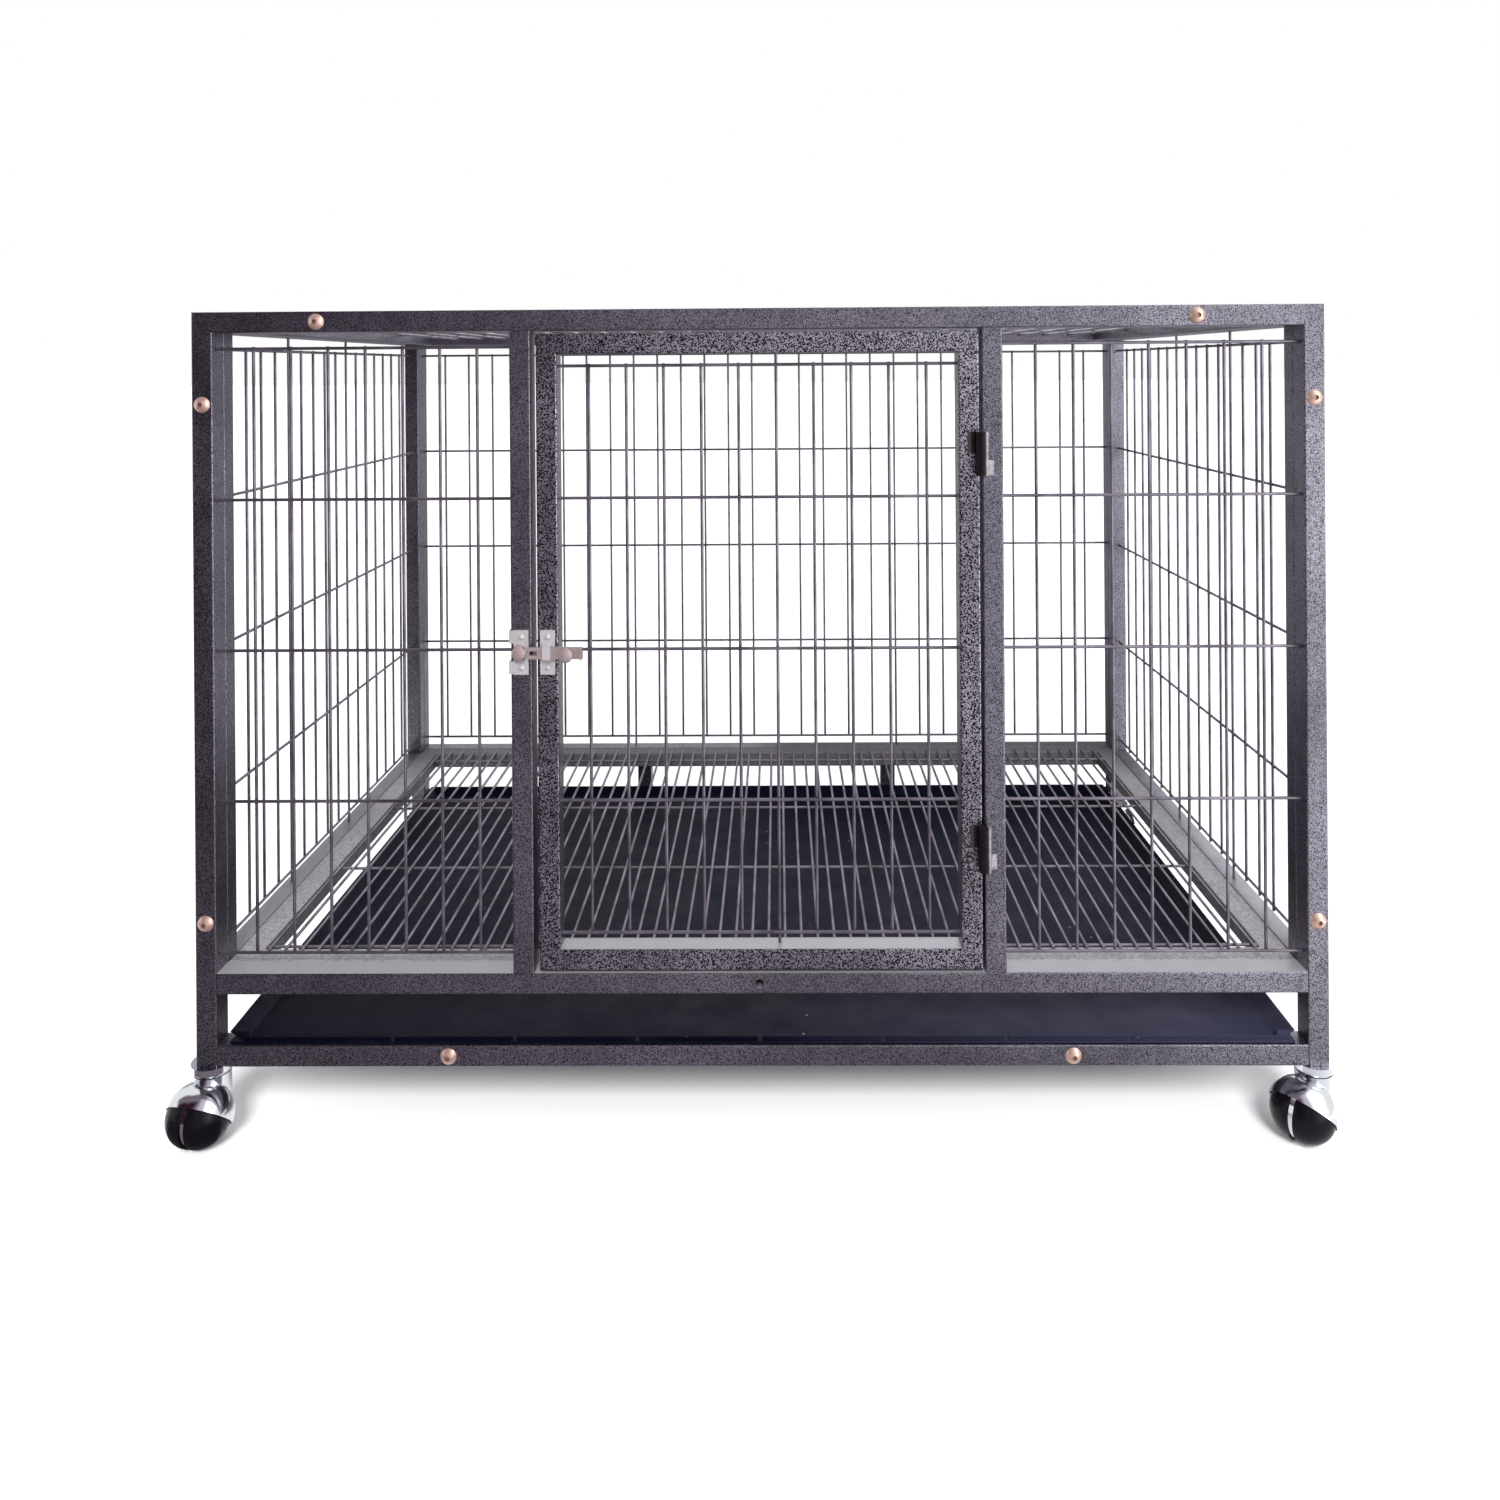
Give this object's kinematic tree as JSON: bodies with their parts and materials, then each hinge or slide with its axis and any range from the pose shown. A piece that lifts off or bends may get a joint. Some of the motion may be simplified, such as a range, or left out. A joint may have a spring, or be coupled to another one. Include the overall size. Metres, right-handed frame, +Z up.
{
  "type": "kennel cage",
  "caption": "Wheeled animal kennel: rectangular tube frame filled with welded wire mesh, front swing door with slide latch, floor grate over a pull-out tray, hooded ball casters.",
  "frame": {"origin": "on the floor under the middle of the cage, at the centre of the bounding box's base", "axes": "+X to the right along the front, +Y from the door side to the back, +Z up"},
  "size_m": [1.1208, 0.7692, 0.784],
  "materials": {
    "frame_paint": "dark hammered silver-vein paint",
    "door_paint": "hammered silver-vein paint, lighter on the door",
    "mesh_paint": "painted wire, slightly worn",
    "tray_plastic": "satin dark plastic with scuffs",
    "plated_bolt": "copper-gold plated",
    "zinc_steel": "zinc plated",
    "latch_nickel": "bright nickel",
    "caster_chrome": "chrome plated",
    "wheel_plastic": "glossy"
  },
  "bodies": {
    "cage": {"front_frame": "frame_paint", "front_mesh_left": "mesh_paint", "front_mesh_right": "mesh_paint", "back_frame": "frame_paint", "back_mesh": "mesh_paint", "left_frame": "frame_paint", "left_mesh": "mesh_paint", "right_frame": "frame_paint", "right_mesh": "mesh_paint", "roof_frame": "frame_paint", "roof_mesh": "mesh_paint", "floor_frame": "frame_paint", "floor_grate": "mesh_paint", "tray_runners": "frame_paint", "runner_plugs": "zinc_steel", "front_bolts": "plated_bolt", "back_bolts": "plated_bolt", "weld_nuts": "zinc_steel", "hinge_tabs": "frame_paint", "hinge_pins": "zinc_steel", "latch_keeper": "latch_nickel", "keeper_screws": "latch_nickel", "caster_sockets": "zinc_steel", "caster_stem_fl": "caster_chrome", "caster_stem_fr": "caster_chrome", "caster_stem_rl": "caster_chrome", "caster_stem_rr": "caster_chrome"},
    "door": {"door_frame": "door_paint", "door_mesh": "mesh_paint", "hinge_knuckles": "door_paint", "latch_bracket": "latch_nickel", "bracket_screws": "latch_nickel"},
    "latch_bolt": {"latch_bar": "latch_nickel", "latch_knob": "latch_nickel"},
    "tray": {"tray": "tray_plastic"},
    "swivel_fl": {"caster_hood_fl": "caster_chrome"},
    "wheel_fl": {"caster_wheel_fl": "wheel_plastic", "caster_axle_fl": "zinc_steel"},
    "swivel_fr": {"caster_hood_fr": "caster_chrome"},
    "wheel_fr": {"caster_wheel_fr": "wheel_plastic", "caster_axle_fr": "zinc_steel"},
    "swivel_rl": {"caster_hood_rl": "caster_chrome"},
    "wheel_rl": {"caster_wheel_rl": "wheel_plastic", "caster_axle_rl": "zinc_steel"},
    "swivel_rr": {"caster_hood_rr": "caster_chrome"},
    "wheel_rr": {"caster_wheel_rr": "wheel_plastic", "caster_axle_rr": "zinc_steel"}
  },
  "joints": [
    {"name": "door_swing", "type": "hinge", "parent": "cage", "child": "door", "pos_m": [0.212, -0.3556, 0.46025], "axis": [0, 0, 1], "range_deg": [0, 170]},
    {"name": "latch_slide", "type": "slide", "parent": "door", "child": "latch_bolt", "axis": [1, 0, 0], "range_m": [-0.01, 0.012]},
    {"name": "tray_slide", "type": "slide", "parent": "cage", "child": "tray", "axis": [0, -1, 0], "range_m": [0, 0.55]},
    {"name": "caster_swivel_fl", "type": "hinge", "parent": "cage", "child": "swivel_fl", "pos_m": [-0.525, -0.3365, 0.0555], "axis": [0, 0, 1], "continuous": true},
    {"name": "caster_roll_fl", "type": "hinge", "parent": "swivel_fl", "child": "wheel_fl", "pos_m": [-0.52865, -0.35718, 0.027], "axis": [0.9848, -0.1736, 0], "continuous": true},
    {"name": "caster_swivel_fr", "type": "hinge", "parent": "cage", "child": "swivel_fr", "pos_m": [0.525, -0.3365, 0.0555], "axis": [0, 0, 1], "continuous": true},
    {"name": "caster_roll_fr", "type": "hinge", "parent": "swivel_fr", "child": "wheel_fr", "pos_m": [0.50891, -0.35, 0.027], "axis": [0.6428, -0.766, 0], "continuous": true},
    {"name": "caster_swivel_rl", "type": "hinge", "parent": "cage", "child": "swivel_rl", "pos_m": [-0.525, 0.3365, 0.0555], "axis": [0, 0, 1], "continuous": true},
    {"name": "caster_roll_rl", "type": "hinge", "parent": "swivel_rl", "child": "wheel_rl", "pos_m": [-0.50891, 0.35, 0.027], "axis": [-0.6428, 0.766, 0], "continuous": true},
    {"name": "caster_swivel_rr", "type": "hinge", "parent": "cage", "child": "swivel_rr", "pos_m": [0.525, 0.3365, 0.0555], "axis": [0, 0, 1], "continuous": true},
    {"name": "caster_roll_rr", "type": "hinge", "parent": "swivel_rr", "child": "wheel_rr", "pos_m": [0.52865, 0.35718, 0.027], "axis": [-0.9848, 0.1736, 0], "continuous": true}
  ]
}
